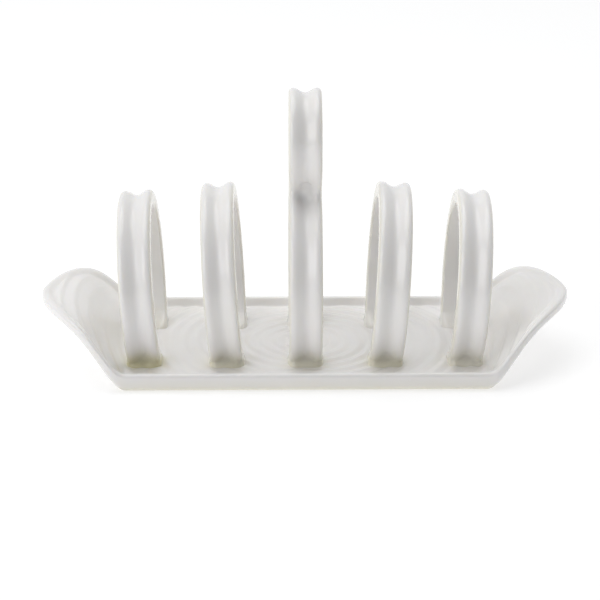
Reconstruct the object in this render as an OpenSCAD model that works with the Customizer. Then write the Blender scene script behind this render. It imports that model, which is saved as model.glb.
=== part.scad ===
// Porcelain toast rack: a shallow tray with two upswept lobes, four grooved
// ring dividers and a taller centre loop that carries a finger ring.
// Frame: +Z up, +X along the row of dividers, origin at the middle of the foot.

/* [Tray] */
// Overall length over the two lobes, mm
tray_l = 230; // [220:1:250]
// Width over the two long rims, mm
tray_w = 99; // [94:1:110]
// Thickness of the tray floor, mm
floor_t = 4; // [3:0.5:6]
// Height of the long rims above the floor, mm
rim_h = 3.6; // [2:0.2:6]
// Height of the lobe tips above the foot, mm
lobe_h = 28; // [20:0.2:40]
// Height the rim keeps on the lobes, mm
lobe_rim = 0.8; // [0:0.2:2]
// Half length of the level part of the floor, mm
level_half = 76.5; // [76:0.5:80]

/* [Dividers] */
// Width of the grooved band, mm
band_w = 14.2; // [10:0.2:15]
// Thickness of the band at its two ridges, mm
band_t = 6.5; // [5:0.5:8]
// Depth of the groove between the ridges, mm
groove_d = 2; // [1:0.2:3]
// Outer radius of the inner pair of rings, mm
inner_r = 41.4; // [38:0.2:43]
// Outer radius of the outer pair of rings, mm
outer_r = 39.8; // [38:0.2:43]
// Height of the inner ring centres above the foot, mm
inner_c = 34.2; // [32:0.2:36]
// Height of the outer ring centres above the foot, mm
outer_c = 32.4; // [31:0.2:36]
// Distance of the inner rings from the middle, mm
inner_x = 34.4; // [32:0.2:36]
// Distance of the outer rings from the middle, mm
outer_x = 68.8; // [66:0.2:69]
// Outward lean of the four dividers, degrees
lean = 3.6; // [0:0.2:4]

/* [Handle] */
// Outer radius of the finger ring, mm
finger_r = 22.1; // [19:0.1:24]
// Depth the finger ring sinks into the centre loop, mm
sink = 1.4; // [1:0.1:2.5]
// Radius of the smooth waist between the two rings, mm
waist_r = 7; // [5:0.5:10]

/* [Foot joints] */
// Height the joining slip climbs up each foot, mm
slip_h = 6; // [2:0.2:6]
// Spread of the joining slip towards the long rim, mm
slip_out = 3.8; // [2:0.2:5]
// Spread of the joining slip towards the middle, mm
slip_in = 2; // [1:0.2:3]

/* [Hidden] */

$fn = 96;
eps = 0.01;
glaze_white = [0.93, 0.92, 0.88];
slip_olive = [0.80, 0.79, 0.70];

// tray outline: straight long sides, superelliptic ends
half_l = tray_l / 2;
half_w = tray_w / 2;
end_start = 80;
end_len = half_l - end_start;
end_pow = 1.6;
end_steps = 24;
side_steps = 8;
// upswept profile of the ends
sweep_pow = 4;
tip_thin = 0.5;
rim_fade_len = 25;
// rim rounding
rim_round = 1.6;
rim_foot_in = 5.5;
rim_flat_in = 2.2;
under_round = 2.5;
under_round_tip = 1.4;
blend_steps = 6;
edge_steps = 5;
under_steps = 4;
// foot pad flush with the underside
pad_inset = 4;
pad_t = 1;

// divider section
ridge_round = 2.0;
inner_round = 1.3;
ridge_steps = 7;
groove_steps = 14;
trim = 200;

// handle
finger_c = inner_c + inner_r + finger_r - sink;
waist_in = 0.25;

// slip fillets
slip_levels = 5;
slip_side = 0.6;
slip_bite = 0.5;
corner_r = 2.2;
corner_steps = 4;

// ---- tray surfaces -------------------------------------------------------

// share of the lobe rise reached at distance x from the middle
function sweep(x) =
    let (s = min(1, max(0, (abs(x) - level_half) / (half_l - level_half))))
    1 - pow(1 - s, sweep_pow) * (1 + sweep_pow * s);

function top_z(x) = floor_t + (lobe_h - floor_t) * sweep(x);

function under_z(x) =
    (lobe_h - floor_t) * sweep(x)
    + tip_thin * max(0, abs(x) - level_half) / (half_l - level_half);

function rim_fade(x) =
    let (s = min(1, max(0, (abs(x) - level_half) / rim_fade_len)))
    1 - s * s * (3 - 2 * s);

function rim_at(x) = lobe_rim + (rim_h - lobe_rim) * rim_fade(x);

// share of the rim height reached at inset d from the outline
function rim_share(d) =
    let (s = min(1, max(0, (rim_foot_in - d) / (rim_foot_in - rim_flat_in))))
    s * s * (3 - 2 * s);

function edge_drop(d) =
    d >= rim_round ? 0
    : rim_round - sqrt(rim_round * rim_round - pow(rim_round - d, 2));

function under_r(x) =
    under_round + (under_round_tip - under_round) * (1 - rim_fade(x));

function under_lift(d, x) =
    let (r = under_r(x))
    d >= r ? 0 : r - sqrt(r * r - pow(r - d, 2));

// quarter outline from the end of the straight side to the tip
function end_x(a) = end_start + end_len * pow(sin(a), 2 / end_pow);
function end_y(a) = half_w * pow(cos(a), 2 / end_pow);

end_curve = [for (i = [0 : end_steps])
    let (a = 90 * i / end_steps)
    [end_x(a), i == end_steps ? 0 : end_y(a)]];

side_line = [for (i = [1 : side_steps - 1])
    [end_start - 2 * end_start * i / side_steps, half_w]];

// back half of the outline, right tip to left tip
half_outline = concat(
    [for (i = [end_steps : -1 : 0]) end_curve[i]],
    side_line,
    [for (i = [0 : end_steps]) [-end_curve[i][0], end_curve[i][1]]]
);
n_half = len(half_outline);

// closed outline, anticlockwise seen from above
outline = concat(
    half_outline,
    [for (i = [n_half - 2 : -1 : 1]) [half_outline[i][0], -half_outline[i][1]]]
);
n_out = len(outline);

function unit(v) = v / norm(v);

function inward(i) =
    let (a = outline[(i + n_out - 1) % n_out])
    let (b = outline[(i + 1) % n_out])
    let (t = unit(b - a))
    [-t[1], t[0]];

function inset(i, d) = outline[i] + d * inward(i);

// insets of the loops over the rim, from the floor outwards
top_insets = concat(
    [for (i = [0 : blend_steps]) rim_foot_in - (rim_foot_in - rim_flat_in) * i / blend_steps],
    [for (i = [0 : edge_steps]) rim_round * (1 - sin(90 * i / edge_steps))]
);
under_insets = [for (i = [0 : under_steps]) under_round * (1 - cos(90 * i / under_steps))];

function top_loop(d) = [for (i = [0 : n_out - 1])
    let (p = inset(i, d))
    [p[0], p[1], top_z(p[0]) + rim_at(p[0]) * rim_share(d) - edge_drop(d)]];

function under_loop(d) = [for (i = [0 : n_out - 1])
    let (p = inset(i, d))
    [p[0], p[1], under_z(p[0]) + under_lift(d, p[0])]];

tray_loops = concat(
    [for (d = top_insets) top_loop(d)],
    [for (d = under_insets) under_loop(d)]
);
n_loops = len(tray_loops);

tray_points = [for (l = tray_loops) for (p = l) p];

// quads between neighbouring loops, faces clockwise seen from outside
rim_faces = [for (k = [0 : n_loops - 2]) for (i = [0 : n_out - 1])
    let (j = (i + 1) % n_out)
    [k * n_out + i, k * n_out + j, (k + 1) * n_out + j, (k + 1) * n_out + i]];

// strips straight across the tray, one for each step along it
function strip(base, i) =
    i == 0 ? [base, base + 1, base + n_out - 1]
    : i == n_half - 2 ? [base + i, base + i + 1, base + n_out - i]
    : [base + i, base + i + 1, base + n_out - i - 1, base + n_out - i];

function flipped(f) = [for (i = [len(f) - 1 : -1 : 0]) f[i]];

top_faces = [for (i = [0 : n_half - 2]) flipped(strip(0, i))];
under_faces = [for (i = [0 : n_half - 2]) strip((n_loops - 1) * n_out, i)];

module tray() {
    color(glaze_white) union() {
        polyhedron(
            points = tray_points,
            faces = concat(rim_faces, top_faces, under_faces),
            convexity = 6
        );
        foot_pad();
    }
}

// level pad that closes the foot as one flat face
module foot_pad() {
    linear_extrude(pad_t)
        square([2 * (end_start - pad_inset), tray_w - 4 * pad_inset], center = true);
}

// ---- grooved band section ------------------------------------------------

half_b = band_w / 2;
crest_x = half_b - ridge_round;

// right half of the section, from the inside face out to the groove bottom
right_section = concat(
    [for (i = [0 : ridge_steps])
        let (a = -90 + 90 * i / ridge_steps)
        [half_b - inner_round + inner_round * cos(a), -band_t + inner_round + inner_round * sin(a)]],
    [for (i = [0 : ridge_steps])
        let (a = 90 * i / ridge_steps)
        [crest_x + ridge_round * cos(a), -ridge_round + ridge_round * sin(a)]],
    [for (i = [1 : groove_steps])
        let (s = i / groove_steps)
        [crest_x * (1 - s), -groove_d * (1 - cos(180 * s)) / 2]]
);

n_right = len(right_section);

band_section = concat(
    right_section,
    [for (i = [n_right - 2 : -1 : 0]) [-right_section[i][0], right_section[i][1]]]
);

// ring of the band about the X axis, outer radius r, centred on the origin
module band_ring(r) {
    rotate([0, 90, 0])
        rotate_extrude()
            polygon([for (p = band_section) [r + p[1], p[0]]]);
}

// ring standing at x, its centre at height c, leaned about the floor line
module standing_ring(r, c, x, tilt) {
    translate([x, 0, floor_t])
        rotate([0, tilt, 0])
            translate([0, 0, c - floor_t])
                band_ring(r);
}

module below_floor() {
    translate([-trim, -trim, floor_t - 2 * trim])
        cube(2 * trim);
}

module divider(r, c, x, tilt) {
    color(glaze_white) difference() {
        standing_ring(r, c, x, tilt);
        below_floor();
    }
}

module divider_outer_left() {
    divider(outer_r, outer_c, -outer_x, -lean);
}

module divider_inner_left() {
    divider(inner_r, inner_c, -inner_x, -lean);
}

module divider_inner_right() {
    divider(inner_r, inner_c, inner_x, lean);
}

module divider_outer_right() {
    divider(outer_r, outer_c, outer_x, lean);
}

// ---- handle --------------------------------------------------------------

// centre of the waist arc that touches discs of radius ra and rb
function waist_y(ra, rb) =
    let (h = finger_c - inner_c)
    let (a = ra + waist_r)
    let (b = rb + waist_r)
    let (z = (a * a - b * b + h * h) / (2 * h))
    [sqrt(a * a - z * z), inner_c + z];

// waist web whose faces lie this far below the two outer surfaces
module waist_web(below, w) {
    c = waist_y(inner_r - below, finger_r - below);
    low = unit([c[0], c[1] - inner_c]) * (inner_r - below);
    high = unit([c[0], c[1] - finger_c]) * (finger_r - below);
    rotate([90, 0, 90])
        translate([0, 0, -w / 2])
            linear_extrude(w)
                difference() {
                    polygon([
                        [-low[0], inner_c + low[1]],
                        [0, inner_c + inner_r - band_t / 2],
                        [low[0], inner_c + low[1]],
                        [high[0], finger_c + high[1]],
                        [0, finger_c - finger_r + band_t / 2],
                        [-high[0], finger_c + high[1]]
                    ]);
                    for (s = [-1, 1])
                        translate([s * c[0], c[1]])
                            circle(r = waist_r + eps);
                }
}

module handle_loop() {
    color(glaze_white) difference() {
        union() {
            standing_ring(inner_r, inner_c, 0, 0);
            translate([0, 0, finger_c]) band_ring(finger_r);
            waist_web(groove_d + waist_in, band_w - 2 * inner_round);
            for (s = [-1, 1])
                translate([s * crest_x, 0, 0])
                    waist_web(waist_in, ridge_round);
        }
        below_floor();
    }
}

// ---- slip fillets --------------------------------------------------------

// distance of a ring surface of radius r, centre height c, at height z
function ring_y(r, c, z) = sqrt(r * r - pow(c - z, 2));

// a slip face: from base_y on the floor, it meets the ring's face at ring_face
function slip_face(base_y, ring_face, share) = base_y * share + ring_face * (1 - share);

// rounded rectangle [x0,x1] by [y0,y1] as a loop at height z
function slip_loop(x0, x1, y0, y1, z) = [
    for (q = [0 : 3]) for (i = [0 : corner_steps])
        let (a = 90 * q + 90 * i / corner_steps)
        let (cx = (q == 0 || q == 3) ? x1 - corner_r : x0 + corner_r)
        let (cy = (q < 2) ? y1 - corner_r : y0 + corner_r)
        [cx + corner_r * cos(a), cy + corner_r * sin(a), z]
];

module slip_block(r, c, x, tilt) {
    n = 4 * (corner_steps + 1);
    loops = [for (k = [0 : slip_levels])
        let (s = k / slip_levels)
        let (z = floor_t + slip_h * s)
        let (mid = x + slip_h * s * tan(tilt))
        let (hx = slip_face(half_b + slip_side, half_b - slip_bite, (1 - s) * (1 - s)))
        let (y_in = ring_y(r - band_t, c, floor_t) - slip_in)
        let (y0 = slip_face(y_in, ring_y(r - band_t, c, z) + slip_bite, (1 - s) * (1 - s)))
        let (y_out = ring_y(r, c, floor_t) + slip_out)
        let (y1 = slip_face(y_out, ring_y(r, c, z) - slip_bite, 1 - s * s))
        slip_loop(mid - hx, mid + hx, y0, y1, z)];
    polyhedron(
        points = [for (l = loops) for (p = l) p],
        faces = concat(
            [for (k = [0 : slip_levels - 1]) for (i = [0 : n - 1])
                let (j = (i + 1) % n)
                [k * n + i, (k + 1) * n + i, (k + 1) * n + j, k * n + j]],
            [[for (i = [0 : n - 1]) i]],
            [[for (i = [n - 1 : -1 : 0]) slip_levels * n + i]]
        ),
        convexity = 4
    );
}

module slip_pair(r, c, x, tilt) {
    color(slip_olive) difference() {
        union() {
            slip_block(r, c, x, tilt);
            mirror([0, 1, 0]) slip_block(r, c, x, tilt);
        }
        standing_ring(r, c, x, tilt);
    }
}

module slip_outer_left() {
    slip_pair(outer_r, outer_c, -outer_x, -lean);
}

module slip_inner_left() {
    slip_pair(inner_r, inner_c, -inner_x, -lean);
}

module slip_centre() {
    slip_pair(inner_r, inner_c, 0, 0);
}

module slip_inner_right() {
    slip_pair(inner_r, inner_c, inner_x, lean);
}

module slip_outer_right() {
    slip_pair(outer_r, outer_c, outer_x, lean);
}

tray();
divider_outer_left();
divider_inner_left();
handle_loop();
divider_inner_right();
divider_outer_right();
slip_outer_left();
slip_inner_left();
slip_centre();
slip_inner_right();
slip_outer_right();
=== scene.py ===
import math

import bpy
import numpy as np
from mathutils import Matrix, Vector


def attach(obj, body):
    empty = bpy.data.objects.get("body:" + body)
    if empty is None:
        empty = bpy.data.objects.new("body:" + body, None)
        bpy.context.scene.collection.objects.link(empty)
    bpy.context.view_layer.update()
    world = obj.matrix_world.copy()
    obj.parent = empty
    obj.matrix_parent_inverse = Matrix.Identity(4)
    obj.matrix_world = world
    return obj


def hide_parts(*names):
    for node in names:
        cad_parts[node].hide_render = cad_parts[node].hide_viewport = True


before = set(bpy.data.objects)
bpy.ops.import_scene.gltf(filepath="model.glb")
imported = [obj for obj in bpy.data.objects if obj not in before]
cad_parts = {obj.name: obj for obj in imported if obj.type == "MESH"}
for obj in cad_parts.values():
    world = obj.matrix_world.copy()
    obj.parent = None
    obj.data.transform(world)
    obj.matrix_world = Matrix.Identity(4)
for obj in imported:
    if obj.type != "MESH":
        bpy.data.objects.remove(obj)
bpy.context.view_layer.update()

MM = 0.001

# ---- sizes in millimetres, the same as the CAD model's --------------------
TRAY_L = 230.0
TRAY_W = 99.0
FLOOR_T = 4.0
RIM_H = 3.6
LOBE_H = 28.0
LOBE_RIM = 0.8
LEVEL_HALF = 76.5
HALF_L = TRAY_L / 2
HALF_W = TRAY_W / 2

END_START = 80.0
END_LEN = HALF_L - END_START
END_POW = 1.6
SWEEP_POW = 4.0
TIP_THIN = 0.5
RIM_FADE_LEN = 25.0
RIM_ROUND = 1.6
RIM_FOOT_IN = 5.5
RIM_FLAT_IN = 2.2
UNDER_ROUND = 2.5
UNDER_ROUND_TIP = 1.4

BAND_W = 14.2
BAND_T = 6.5
GROOVE_D = 2.0
RIDGE_ROUND = 2.0
INNER_ROUND = 1.3
LEAN = 3.6

OUTER_R, OUTER_C, OUTER_X = 39.8, 32.4, 68.8
INNER_R, INNER_C, INNER_X = 41.4, 34.2, 34.4
# name: (outer radius, centre height, distance along the row, lean)
LOOPS = {
    "divider_outer_left": (OUTER_R, OUTER_C, -OUTER_X, -LEAN),
    "divider_inner_left": (INNER_R, INNER_C, -INNER_X, -LEAN),
    "handle_loop": (INNER_R, INNER_C, 0.0, 0.0),
    "divider_inner_right": (INNER_R, INNER_C, INNER_X, LEAN),
    "divider_outer_right": (OUTER_R, OUTER_C, OUTER_X, LEAN),
}
HANDLE = "handle_loop"
FINGER_R = 22.1
FINGER_SINK = 1.4
FINGER_C = INNER_C + INNER_R + FINGER_R - FINGER_SINK

SLIP_H = 6.0
SLIP_SIDE = 0.6
SLIP_IN = 2.0
SLIP_OUT = 3.8

# ---- sizes that only the visual model has, in millimetres -----------------
# how far a loop was set off its place by hand: (shift along the row, turn in degrees)
HAND_SET = {"divider_outer_left": (-0.4, -0.6), "divider_inner_left": (0.9, -0.85)}
RIPPLE_PITCH = 6.0
RIPPLE_H = 0.27
# the ripples die out this far inside the tray's outline
RIPPLE_EDGE = 1.0
# the loops and the slip reach down to here, inside the tray's floor
CUT_Z = 3.0
# the band's inside face is very slightly crowned
INNER_BULGE = 0.25
WAIST_BLEND = 11.0
SLIP_TOE = 1.0


# ---- tray surface ---------------------------------------------------------
def smooth01(s):
    s = np.clip(s, 0.0, 1.0)
    return s * s * (3 - 2 * s)


def lobe_share(x):
    return np.clip((np.abs(x) - LEVEL_HALF) / (HALF_L - LEVEL_HALF), 0, 1)


def sweep(x):
    s = lobe_share(x)
    return 1 - (1 - s) ** SWEEP_POW * (1 + SWEEP_POW * s)


def top_z(x):
    return FLOOR_T + (LOBE_H - FLOOR_T) * sweep(x)


def under_z(x):
    return (LOBE_H - FLOOR_T) * sweep(x) + TIP_THIN * lobe_share(x)


def rim_fade(x):
    return 1 - smooth01((np.abs(x) - LEVEL_HALF) / RIM_FADE_LEN)


def rim_at(x):
    return LOBE_RIM + (RIM_H - LOBE_RIM) * rim_fade(x)


def rim_share(d):
    """Share of the rim's height at the distance d inside the outline."""
    return smooth01((RIM_FOOT_IN - d) / (RIM_FOOT_IN - RIM_FLAT_IN))


def edge_drop(d):
    """Drop of the rim's rounded outer edge at the distance d inside the outline."""
    if d >= RIM_ROUND:
        return 0.0
    return RIM_ROUND - math.sqrt(max(RIM_ROUND ** 2 - (RIM_ROUND - d) ** 2, 0))


def ripple(x, y):
    """Height of the soft rings left in the glaze, measured from the middle of the tray."""
    r = np.hypot(x, y)
    a = np.arctan2(y, x)
    # hand-thrown: the rings wander a little round the tray
    wander = 0.55 * np.sin(2 * a + 0.6) + 0.35 * np.sin(3 * a + 2.1 + r * 0.02)
    wander += 0.25 * np.sin(5 * a + r * 0.05)
    phase = 2 * np.pi * (r + wander) / RIPPLE_PITCH
    wave = np.cos(phase) + 0.25 * np.cos(2 * phase + 0.8)
    strength = 0.75 + 0.25 * np.sin(3 * a + 0.09 * r + 1.0)
    still_middle = np.minimum(1, r / 3.0)
    return RIPPLE_H * wave * strength * still_middle


def ripple_share(d):
    """Share of the ripples' height at the distance d inside the outline."""
    return smooth01((d - RIPPLE_EDGE) / (RIM_FOOT_IN + RIPPLE_EDGE))


def outline_half(end_steps, side_steps):
    """Back half of the tray's outline, right tip to left tip."""
    a = np.linspace(0, np.pi / 2, end_steps + 1)
    ex = END_START + END_LEN * np.sin(a) ** (2 / END_POW)
    ey = HALF_W * np.maximum(np.cos(a), 0) ** (2 / END_POW)
    ey[-1] = 0
    sx = END_START - 2 * END_START * np.arange(1, side_steps) / side_steps
    x = np.concatenate([ex[::-1], sx, -ex])
    y = np.concatenate([ey[::-1], np.full(len(sx), HALF_W), ey])
    return np.stack([x, y], 1)


def inward_normals(out, easing=12):
    tan = np.roll(out, -1, 0) - np.roll(out, 1, 0)
    tan /= np.linalg.norm(tan, axis=1)[:, None]
    # eased so that the rim's inner edge doesn't fold where the straight side ends
    for _ in range(easing):
        tan = (np.roll(tan, 1, 0) + 2 * tan + np.roll(tan, -1, 0)) / 4
    tan /= np.linalg.norm(tan, axis=1)[:, None]
    return np.stack([-tan[:, 1], tan[:, 0]], 1)


def strips(loops, m, flip=False):
    """Quads between neighbouring closed loops of m points; flip turns them over."""
    idx = np.arange(m)
    nxt = np.roll(idx, -1)
    quads = []
    for k in range(loops - 1):
        a, b = k * m, (k + 1) * m
        corners = [a + idx, a + nxt, b + nxt, b + idx]
        if flip:
            corners = [corners[0]] + corners[:0:-1]
        quads.append(np.stack(corners, 1))
    return [tuple(q) for q in np.concatenate(quads).tolist()]


def rim_loops(out, inward, blend_steps=12, edge_steps=9, under_steps=9):
    """Loops over the rim, from the floor outwards and round under the edge."""
    loops = []
    insets = np.concatenate([
        np.linspace(RIM_FOOT_IN, RIM_FLAT_IN, blend_steps),
        [(RIM_FLAT_IN + RIM_ROUND) / 2],
        RIM_ROUND * (1 - np.sin(np.linspace(0, np.pi / 2, edge_steps))),
    ])
    for d in insets:
        x, y = (out + d * inward).T
        z = top_z(x) + rim_at(x) * rim_share(d) - edge_drop(d) + ripple(x, y) * ripple_share(d)
        loops.append(np.stack([x, y, z], 1))
    under_r = UNDER_ROUND + (UNDER_ROUND_TIP - UNDER_ROUND) * (1 - rim_fade(out[:, 0]))
    for s in np.sin(np.linspace(0, np.pi / 2, under_steps)):
        d = under_r * (1 - np.sqrt(max(0.0, 1 - s * s)))
        x, y = (out + d[:, None] * inward).T
        loops.append(np.stack([x, y, under_z(x) + under_r * (1 - s)], 1))
    return loops


def row_faces(a, b):
    """Faces between two rows of points across the tray, either of which may be a single tip point."""
    if len(a) == 1:
        return [(a[0], b[j], b[j + 1]) for j in range(len(b) - 1)]
    if len(b) == 1:
        return [(a[j], b[0], a[j + 1]) for j in range(len(a) - 1)]
    return [(a[j], b[j], b[j + 1], a[j + 1]) for j in range(len(a) - 1)]


def tray_mesh(end_steps=80, side_steps=124, across=84):
    half = outline_half(end_steps, side_steps)
    nh = len(half)
    out = np.concatenate([half, (half[1:-1] * [1, -1])[::-1]])
    n = len(out)
    loops = rim_loops(out, inward_normals(out))
    verts = np.concatenate(loops)
    faces = strips(len(loops), n, flip=True)

    # inside of the rim: a grid of straight rows across the tray
    v = list(map(tuple, verts))
    front = {i: (n - i) % n for i in range(nh)}
    t = np.arange(1, across) / across
    rows = [[0]]
    for i in range(1, nh - 1):
        p, q = verts[i], verts[front[i]]
        x = p[0] + (q[0] - p[0]) * t
        y = p[1] + (q[1] - p[1]) * t
        from_rim = np.minimum(np.abs(y - p[1]), np.abs(y - q[1]))
        z = top_z(x) + ripple(x, y) * ripple_share(from_rim + RIM_FOOT_IN)
        start = len(v)
        v.extend(zip(x.tolist(), y.tolist(), z.tolist()))
        rows.append([i] + list(range(start, start + across - 1)) + [front[i]])
    rows.append([nh - 1])
    for a, b in zip(rows, rows[1:]):
        faces.extend(row_faces(a, b))

    # underside: one strip for each step along the tray
    base = (len(loops) - 1) * n
    for i in range(nh - 1):
        a, b, c, d = base + i, base + i + 1, base + front[i + 1], base + front[i]
        if i == 0:
            faces.append((a, c, b))
        elif i == nh - 2:
            faces.append((a, d, b))
        else:
            faces.append((a, d, c, b))
    return np.array(v), faces


# ---- grooved band ---------------------------------------------------------
def band_section(round_steps=10, groove_steps=22, inner_steps=14):
    """Closed loop of (x, height above the crest circle), anticlockwise."""
    half = BAND_W / 2
    crest = half - RIDGE_ROUND
    flat = half - INNER_ROUND
    a = np.linspace(-np.pi / 2, 0, round_steps + 1)
    inner = np.stack([flat + INNER_ROUND * np.cos(a), -BAND_T + INNER_ROUND + INNER_ROUND * np.sin(a)], 1)
    a = np.linspace(0, np.pi / 2, round_steps + 1)
    ridge = np.stack([crest + RIDGE_ROUND * np.cos(a), -RIDGE_ROUND + RIDGE_ROUND * np.sin(a)], 1)
    s = np.arange(1, groove_steps + 1) / groove_steps
    groove = np.stack([crest * (1 - s), -GROOVE_D * (1 - np.cos(np.pi * s)) / 2], 1)
    right = np.concatenate([inner, ridge, groove])
    left = (right[:-1] * [-1, 1])[::-1]
    inner_x = np.linspace(-flat, flat, inner_steps)[1:-1]
    bulge = INNER_BULGE * np.cos(np.pi * inner_x / (2 * flat))
    return np.concatenate([right, left, np.stack([inner_x, -BAND_T - bulge], 1)])


SECTION = band_section()


def ring_loop(r, c, a):
    """The band's section at the angle a from straight down, one angle for all its points or one each."""
    rho = r + SECTION[:, 1]
    return np.stack([SECTION[:, 0], rho * np.sin(a), c - rho * np.cos(a)], 1)


def leaned(p, x, tilt):
    """Points moved to the place x along the row and leaned about the floor line there."""
    c, s = math.cos(math.radians(tilt)), math.sin(math.radians(tilt))
    dz = p[:, 2] - FLOOR_T
    return np.stack([x + p[:, 0] * c + dz * s, p[:, 1], FLOOR_T - p[:, 0] * s + dz * c], 1)


def ring_mesh(r, c, x, tilt, steps=260):
    """Band ring whose two feet end level, just under the tray's floor."""
    m = len(SECTION)
    end = np.arccos(np.clip((c - CUT_Z) / (r + SECTION[:, 1]), -1, 1))
    loops = [ring_loop(r, c, end + (2 * np.pi - 2 * end) * t) for t in np.linspace(0, 1, steps + 1)]
    faces = strips(len(loops), m)
    faces.append(tuple(range(m - 1, -1, -1)))
    faces.append(tuple(range(steps * m, steps * m + m)))
    return leaned(np.concatenate(loops), x, tilt), faces


def closed_ring(r, c, steps=160):
    m = len(SECTION)
    loops = [ring_loop(r, c, 2 * np.pi * k / steps) for k in range(steps)]
    wrapped = [tuple(i % (steps * m) for i in q) for q in strips(steps + 1, m, flip=True)]
    return np.concatenate(loops), wrapped


def hand_set(name, v):
    """Points of a loop or its slip, moved to where the loop really stands."""
    shift, turn = HAND_SET.get(name, (0.0, 0.0))
    x0 = LOOPS[name][2]
    c, s = math.cos(math.radians(turn)), math.sin(math.radians(turn))
    dx = v[:, 0] - x0
    return np.stack([x0 + shift + dx * c - v[:, 1] * s, dx * s + v[:, 1] * c, v[:, 2]], 1)


# ---- handle ---------------------------------------------------------------
def section_distance(x, h):
    """Signed distance in the section plane to the band's outline, negative inside."""
    tiny = 1e-12
    best = np.full(x.shape, 1e9)
    inside = np.zeros(x.shape, bool)
    for (ax, ay), (bx, by) in zip(SECTION, np.roll(SECTION, -1, 0)):
        ex, ey = bx - ax, by - ay
        wx, wy = x - ax, h - ay
        t = np.clip((wx * ex + wy * ey) / (ex * ex + ey * ey + tiny), 0, 1)
        best = np.minimum(best, (wx - ex * t) ** 2 + (wy - ey * t) ** 2)
        crosses = (ay > h) != (by > h)
        rise = ey if abs(ey) > tiny else tiny
        inside ^= crosses & (x < ex * (h - ay) / rise + ax)
    d = np.sqrt(best)
    return np.where(inside, -d, d)


def handle_field(p):
    """Negative inside the handle: two rings under one skin that blends at the waist, less the two holes."""
    x = p[:, 0]
    low = np.hypot(p[:, 1], p[:, 2] - INNER_C) - INNER_R
    high = np.hypot(p[:, 1], p[:, 2] - FINGER_C) - FINGER_R
    h = np.maximum(WAIST_BLEND - np.abs(low - high), 0) / WAIST_BLEND
    skin = np.minimum(low, high) - h * h * WAIST_BLEND / 4
    mid = -BAND_T / 2
    d = section_distance(x, np.maximum(skin, mid))
    d = np.maximum(d, section_distance(x, np.minimum(low, mid)))
    d = np.maximum(d, section_distance(x, np.minimum(high, mid)))
    return np.maximum(d, CUT_Z - p[:, 2])


def waist_block(half_x=6.3, half_y=15.0, half_z=4.5):
    """A rough filling of the waist, for the remesh to start from."""
    z0 = INNER_C + INNER_R
    xs, ys, zs = (-half_x, half_x), (-half_y, half_y), (z0 - half_z, z0 + half_z)
    corners = [(x, y, z) for x in xs for y in ys for z in zs]
    sides = [(0, 1, 3, 2), (4, 6, 7, 5), (0, 4, 5, 1), (2, 3, 7, 6), (0, 2, 6, 4), (1, 5, 7, 3)]
    return np.array(corners, float), sides


def joined(parts):
    verts, faces, start = [], [], 0
    for v, f in parts:
        verts.append(v)
        faces += [tuple(i + start for i in q) for q in f]
        start += len(v)
    return np.concatenate(verts), faces


def remeshed(verts, faces, voxel):
    """The same volume as one skin of small quads."""
    me = bpy.data.meshes.new("handle_rough")
    me.from_pydata([tuple(p) for p in verts], [], faces)
    ob = bpy.data.objects.new("handle_rough", me)
    bpy.context.scene.collection.objects.link(ob)
    mod = ob.modifiers.new("remesh", "REMESH")
    mod.mode = "VOXEL"
    mod.voxel_size = voxel
    skin = ob.evaluated_get(bpy.context.evaluated_depsgraph_get()).to_mesh()
    points = np.empty(len(skin.vertices) * 3)
    skin.vertices.foreach_get("co", points)
    quads = [tuple(q.vertices) for q in skin.polygons]
    bpy.data.objects.remove(ob)
    bpy.data.meshes.remove(me)
    return points.reshape(-1, 3), quads


def handle_mesh(voxel=0.62, rounds=4, probe=0.05, least_slope=0.2):
    """Both rings as one rough skin, whose points are then moved onto the handle's exact surface."""
    rough = joined([
        ring_mesh(*LOOPS[HANDLE], steps=200),
        closed_ring(FINGER_R, FINGER_C),
        waist_block(),
    ])
    p, faces = remeshed(*rough, voxel)
    for _ in range(rounds):
        d = handle_field(p)
        ahead_less_behind = [handle_field(p + e) - handle_field(p - e) for e in np.eye(3) * probe]
        g = np.stack(ahead_less_behind, 1) / (2 * probe)
        p = p - (d / np.maximum((g * g).sum(1), least_slope))[:, None] * g
    return p, faces


# ---- slip at the feet -----------------------------------------------------
def foot_slice(r, c, z):
    """The band's outline where the level plane at height z cuts one leg."""
    rho = r + SECTION[:, 1]
    return np.stack([SECTION[:, 0], np.sqrt(np.maximum(rho ** 2 - (c - z) ** 2, 0))], 1)


def rounded_rect(like, x0, x1, y0, y1, power=4.0):
    """Points of a rounded rectangle, one for each point of a loop around the same middle."""
    mid = (like.max(0) + like.min(0)) / 2
    half_like = (like.max(0) - like.min(0)) / 2
    u = (like - mid) / half_like
    a = np.arctan2(u[:, 1], u[:, 0])
    ca, sa = np.cos(a), np.sin(a)
    rr = (np.abs(ca) ** power + np.abs(sa) ** power) ** (-1 / power)
    return np.stack([(x0 + x1) / 2 + (x1 - x0) / 2 * rr * ca, (y0 + y1) / 2 + (y1 - y0) / 2 * rr * sa], 1)


def slip_loop(r, c, s):
    """Outline of the bead round one leg at the share s of its height, and how near the floor that is."""
    near, far = (1 - s) ** 2, 1 - s * s
    flare = SLIP_TOE * (1 - smooth01(s / 0.35))
    floor_y = foot_slice(r, c, FLOOR_T)[:, 1]
    leg = foot_slice(r, c, FLOOR_T + SLIP_H * s)
    half = BAND_W / 2 + SLIP_SIDE * near
    y0 = leg[:, 1].min() * (1 - near) + (floor_y.min() - SLIP_IN) * near
    y1 = leg[:, 1].max() * (1 - far) + (floor_y.max() + SLIP_OUT - SLIP_TOE) * far + flare
    fill = 1 - smooth01((s - 0.1) / 0.9)
    loop = leg + (rounded_rect(leg, -half, half, y0, y1) - leg) * fill
    if s == 1:
        # the last loop closes just inside the leg
        loop = leg.mean(0) + (leg - leg.mean(0)) * 0.985
    return loop, near


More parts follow.
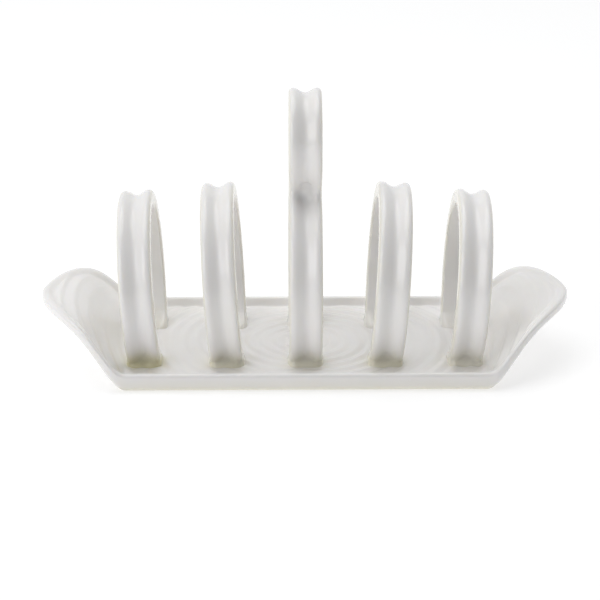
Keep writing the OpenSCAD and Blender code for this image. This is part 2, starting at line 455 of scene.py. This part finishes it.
def slip_mesh(r, c, x, tilt, levels=18, crowding=1.5):
    """The beads of slip between one loop's two feet and the tray, filling the groove at the foot."""
    beads = []
    m = len(SECTION)
    for sign in (1, -1):
        loops = []
        for k in range(levels + 1):
            s = (k / levels) ** crowding
            z = FLOOR_T + SLIP_H * s
            q, near = slip_loop(r, c, s)
            p = leaned(np.column_stack([q[:, 0], sign * q[:, 1], np.full(m, z)]), x, tilt)
            # the lean tips the loop: bring it level with the floor again near the bottom
            p[:, 2] = p[:, 2] * (1 - near) + (z + ripple(p[:, 0], p[:, 1])) * near
            loops.append(p)
        skirt = loops[0].copy()
        skirt[:, 2] = CUT_Z
        loops.insert(0, skirt)
        faces = strips(len(loops), m)
        faces.append(tuple(range(m - 1, -1, -1)))
        faces.append(tuple(range((len(loops) - 1) * m, len(loops) * m)))
        # the second bead is mirrored, which turns its faces over
        beads.append((np.concatenate(loops), [q[::sign] for q in faces]))
    return joined(beads)


# ---- where the glaze has gathered and where shade is painted, from 0 to 1 ---
# at each loop's front foot: glaze gathered there and painted shade, taken together
FOOT_POOL_AND_SHADE = {
    "divider_outer_left": 1.0,
    "divider_inner_left": 0.55,
    "handle_loop": 0.5,
    "divider_inner_right": 0.55,
    "divider_outer_right": 0.4,
}
# the back feet get a quarter of the front feet's painted shade and gathered glaze
BACK_SHARE = 0.25
# painted shade, darker and warmer, down the side faces of the band
SIDE_SHADE = 0.3
SIDE_SHADE_W = 1.2
# painted shade where the tray's outer wall turns under
WALL_SHADE = 0.35
POOL_AND_SHADE_CLIMB = 6.0
# the gathered glaze and painted shade that spread from each foot onto the tray round it
POOL_SPREAD_SHARE = 0.6
POOL_SPREAD_REACH = 2.2
LEG_MID_IN = 3.0
LEG_HALF_DEPTH = 4.5


# painted shade at each foot, together with the glaze gathered there; it fades with height
def foot_pool_and_shade(v, amount):
    rise = np.maximum(v[:, 2] - FLOOR_T, 0) / POOL_AND_SHADE_CLIMB
    return amount * np.exp(-rise * rise) * np.where(v[:, 1] > 0, BACK_SHARE, 1.0)


# painted shade on the band's side faces
def painted_side_shade(x):
    return SIDE_SHADE * smooth01((np.abs(x) - BAND_W / 2 + SIDE_SHADE_W) / SIDE_SHADE_W)


def tray_pool_and_shade(v):
    total = np.zeros(len(v))
    for name, (r, c, x, _) in LOOPS.items():
        leg_y = math.sqrt(r * r - (c - FLOOR_T) ** 2) - LEG_MID_IN
        for sign, share in ((-1, 1.0), (1, BACK_SHARE)):
            dx = np.maximum(np.abs(v[:, 0] - x) - BAND_W / 2, 0)
            dy = np.maximum(np.abs(v[:, 1] - sign * leg_y) - LEG_HALF_DEPTH, 0)
            # painted shade and gathered glaze round the foot, fading with distance from it
            spread = share * FOOT_POOL_AND_SHADE[name] * POOL_SPREAD_SHARE * np.exp(-np.hypot(dx, dy) / POOL_SPREAD_REACH)
            total = np.maximum(total, spread)
    # painted shade low on the outer wall, where it turns under
    low = 1 - smooth01((v[:, 2] - 1.0) / 3.0)
    wall = WALL_SHADE * low * (np.abs(v[:, 1]) > HALF_W - UNDER_ROUND)
    return np.maximum(total * (v[:, 2] > CUT_Z), wall)


# ---- glaze ----------------------------------------------------------------
WHITE = (0.90, 0.885, 0.875)
WARM_WHITE = (0.88, 0.865, 0.84)
# olive for gathered glaze and for painted shade
OLIVE_POOL_AND_SHADE = (0.76, 0.72, 0.48)


def noise(nt, coord, scale, detail, roughness):
    """Value of a noise texture in the object's own coordinates."""
    n = nt.nodes.new("ShaderNodeTexNoise")
    n.inputs["Scale"].default_value = scale
    n.inputs["Detail"].default_value = detail
    n.inputs["Roughness"].default_value = roughness
    nt.links.new(coord.outputs["Object"], n.inputs["Vector"])
    return n.outputs["Fac"]


def ranged(nt, value, from_range, to_range):
    n = nt.nodes.new("ShaderNodeMapRange")
    n.inputs["From Min"].default_value, n.inputs["From Max"].default_value = from_range
    n.inputs["To Min"].default_value, n.inputs["To Max"].default_value = to_range
    nt.links.new(value, n.inputs["Value"])
    return n.outputs["Result"]


def mixed(nt, share, first, second):
    """Colour between first and second, each an output or plain numbers."""
    n = nt.nodes.new("ShaderNodeMix")
    n.data_type = "RGBA"
    share_in, first_in, second_in = n.inputs[0], n.inputs[6], n.inputs[7]
    nt.links.new(share, share_in)
    for socket, colour in ((first_in, first), (second_in, second)):
        if isinstance(colour, tuple):
            socket.default_value = (*colour, 1)
        else:
            nt.links.new(colour, socket)
    return n.outputs[2]


def porcelain():
    """Glossy white glaze: faint mottling, warmer and darker where the glaze gathers and where shade is
    painted in.
    """
    mat = bpy.data.materials.new("porcelain_glaze")
    mat.use_nodes = True
    nt = mat.node_tree
    bsdf = nt.nodes["Principled BSDF"]
    coord = nt.nodes.new("ShaderNodeTexCoord")

    cloud = ranged(nt, noise(nt, coord, 45.0, 3.0, 0.5), (0.35, 0.75), (0.0, 1.0))
    # this attribute holds gathered glaze and painted shade, which mix the colour towards olive
    pool_and_shade = nt.nodes.new("ShaderNodeAttribute")
    pool_and_shade.attribute_name = "pool_and_shade"
    colour = mixed(nt, pool_and_shade.outputs["Fac"], mixed(nt, cloud, WHITE, WARM_WHITE), OLIVE_POOL_AND_SHADE)
    nt.links.new(colour, bsdf.inputs["Base Color"])

    rough = ranged(nt, noise(nt, coord, 260.0, 2.0, 0.6), (0.0, 1.0), (0.15, 0.24))
    nt.links.new(rough, bsdf.inputs["Roughness"])

    bump = nt.nodes.new("ShaderNodeBump")
    bump.inputs["Strength"].default_value = 0.10
    bump.inputs["Distance"].default_value = 0.0006
    nt.links.new(noise(nt, coord, 120.0, 1.0, 0.4), bump.inputs["Height"])
    nt.links.new(bump.outputs["Normal"], bsdf.inputs["Normal"])

    bsdf.inputs["IOR"].default_value = 1.5
    bsdf.inputs["Coat Weight"].default_value = 0.2
    bsdf.inputs["Coat Roughness"].default_value = 0.12
    bsdf.inputs["Subsurface Weight"].default_value = 0.12
    bsdf.inputs["Subsurface Radius"].default_value = (1.0, 0.85, 0.6)
    bsdf.inputs["Subsurface Scale"].default_value = 0.002
    return mat


GLAZE = porcelain()


# ---- pieces ---------------------------------------------------------------
SLIPS = {
    "divider_outer_left": "slip_outer_left",
    "divider_inner_left": "slip_inner_left",
    "handle_loop": "slip_centre",
    "divider_inner_right": "slip_inner_right",
    "divider_outer_right": "slip_outer_right",
}


def piece(name, data, nodes, pool_and_shade):
    verts, faces = data
    me = bpy.data.meshes.new(name)
    me.from_pydata([tuple(p) for p in (verts * MM).tolist()], [], faces)
    me.validate()
    me.polygons.foreach_set("use_smooth", [True] * len(me.polygons))
    # gathered glaze and painted shade, for each point
    gathered_and_shade = me.attributes.new("pool_and_shade", "FLOAT", "POINT")
    gathered_and_shade.data.foreach_set("value", np.clip(pool_and_shade, 0, 1).astype(np.float32))
    me.materials.append(GLAZE)
    me.update()
    ob = bpy.data.objects.new(name, me)
    bpy.context.scene.collection.objects.link(ob)
    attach(ob, "root")
    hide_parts(*nodes)


def tray():
    v, f = tray_mesh()
    piece("tray_glazed", (v, f), ["tray"], tray_pool_and_shade(v))


def divider(name):
    v, f = ring_mesh(*LOOPS[name])
    across = np.tile(SECTION[:, 0], len(v) // len(SECTION))
    pool_and_shade = np.maximum(foot_pool_and_shade(v, FOOT_POOL_AND_SHADE[name]), painted_side_shade(across))
    piece(name + "_glazed", (hand_set(name, v), f), [name], pool_and_shade)


def handle():
    v, f = handle_mesh()
    pool_and_shade = np.maximum(foot_pool_and_shade(v, FOOT_POOL_AND_SHADE[HANDLE]), painted_side_shade(v[:, 0]))
    piece("handle_loop_glazed", (v, f), ["handle_loop"], pool_and_shade)


def slip(name, slip_name):
    v, f = slip_mesh(*LOOPS[name])
    pool_and_shade = foot_pool_and_shade(v, FOOT_POOL_AND_SHADE[name])
    piece(slip_name + "_glazed", (hand_set(name, v), f), [slip_name], pool_and_shade)


tray()
for loop_name in LOOPS:
    if loop_name != HANDLE:
        divider(loop_name)
handle()
for loop_name, its_slip in SLIPS.items():
    slip(loop_name, its_slip)


# ---- floor, light and camera, in metres -----------------------------------
FLOOR_HALF = 6.0


def white_floor():
    s = FLOOR_HALF
    me = bpy.data.meshes.new("floor")
    me.from_pydata([(-s, -s, 0), (s, -s, 0), (s, s, 0), (-s, s, 0)], [], [(0, 1, 2, 3)])
    floor = bpy.data.objects.new("floor", me)
    bpy.context.scene.collection.objects.link(floor)
    mat = bpy.data.materials.new("floor_white")
    mat.use_nodes = True
    b = mat.node_tree.nodes["Principled BSDF"]
    b.inputs["Base Color"].default_value = (0.6, 0.6, 0.6, 1)
    b.inputs["Roughness"].default_value = 0.9
    b.inputs["Specular IOR Level"].default_value = 0.1
    b.inputs["Emission Color"].default_value = (1, 1, 1, 1)
    b.inputs["Emission Strength"].default_value = 0.5
    me.materials.append(mat)


def room():
    """Soft light from all round, darker from the camera's side than from the other three."""
    world = bpy.data.worlds.new("studio")
    bpy.context.scene.world = world
    world.use_nodes = True
    nt = world.node_tree
    bg = nt.nodes["Background"]
    bg.inputs["Color"].default_value = (0.98, 0.99, 1.0, 1)
    direction = nt.nodes.new("ShaderNodeTexCoord")
    split = nt.nodes.new("ShaderNodeSeparateXYZ")
    nt.links.new(direction.outputs["Generated"], split.inputs["Vector"])
    strength = ranged(nt, split.outputs["Y"], (-0.7, 0.3), (0.04, 0.78))
    nt.links.new(strength, bg.inputs["Strength"])


def softbox(name, place, target, size, power, colour):
    light = bpy.data.lights.new(name, "AREA")
    light.shape = "RECTANGLE"
    light.size, light.size_y = size
    light.energy = power
    light.color = colour
    ob = bpy.data.objects.new(name, light)
    ob.location = place
    ob.rotation_euler = (Vector(target) - Vector(place)).to_track_quat("-Z", "Y").to_euler()
    bpy.context.scene.collection.objects.link(ob)


CAM_ELEV = 19.0
CAM_TURN = 0.65
CAM_DIST = 0.985
# height that the camera's rise is measured from
CAM_BASE_Z = 0.0394
# shift of the camera and of the point it looks at, along the row
CAM_SIDE = -0.0022
# height of the point it looks at
CAM_AIM_Z = 0.0232
LENS_MM = 135.3
SENSOR_MM = 36.0


def camera():
    elev, turn = math.radians(CAM_ELEV), math.radians(CAM_TURN)
    level = CAM_DIST * math.cos(elev)
    eye = Vector((
        CAM_SIDE - level * math.sin(turn),
        -level * math.cos(turn),
        CAM_BASE_Z + CAM_DIST * math.sin(elev),
    ))
    aim = Vector((CAM_SIDE, 0, CAM_AIM_Z))
    data = bpy.data.cameras.new("camera")
    data.lens = LENS_MM
    data.sensor_width = SENSOR_MM
    cam = bpy.data.objects.new("camera", data)
    cam.location = eye
    cam.rotation_euler = (aim - eye).to_track_quat("-Z", "Y").to_euler()
    bpy.context.scene.collection.objects.link(cam)
    bpy.context.scene.camera = cam


white_floor()
room()
softbox("key", (-1.1, -0.9, 0.8), (0, 0, 0.04), (1.1, 1.1), 7.5, (0.99, 0.99, 1.0))
softbox("top", (-0.2, 0.2, 1.5), (0, 0, 0), (1.6, 1.2), 9, (1.0, 1.0, 1.0))
camera()
bpy.context.scene.view_settings.view_transform = "Standard"
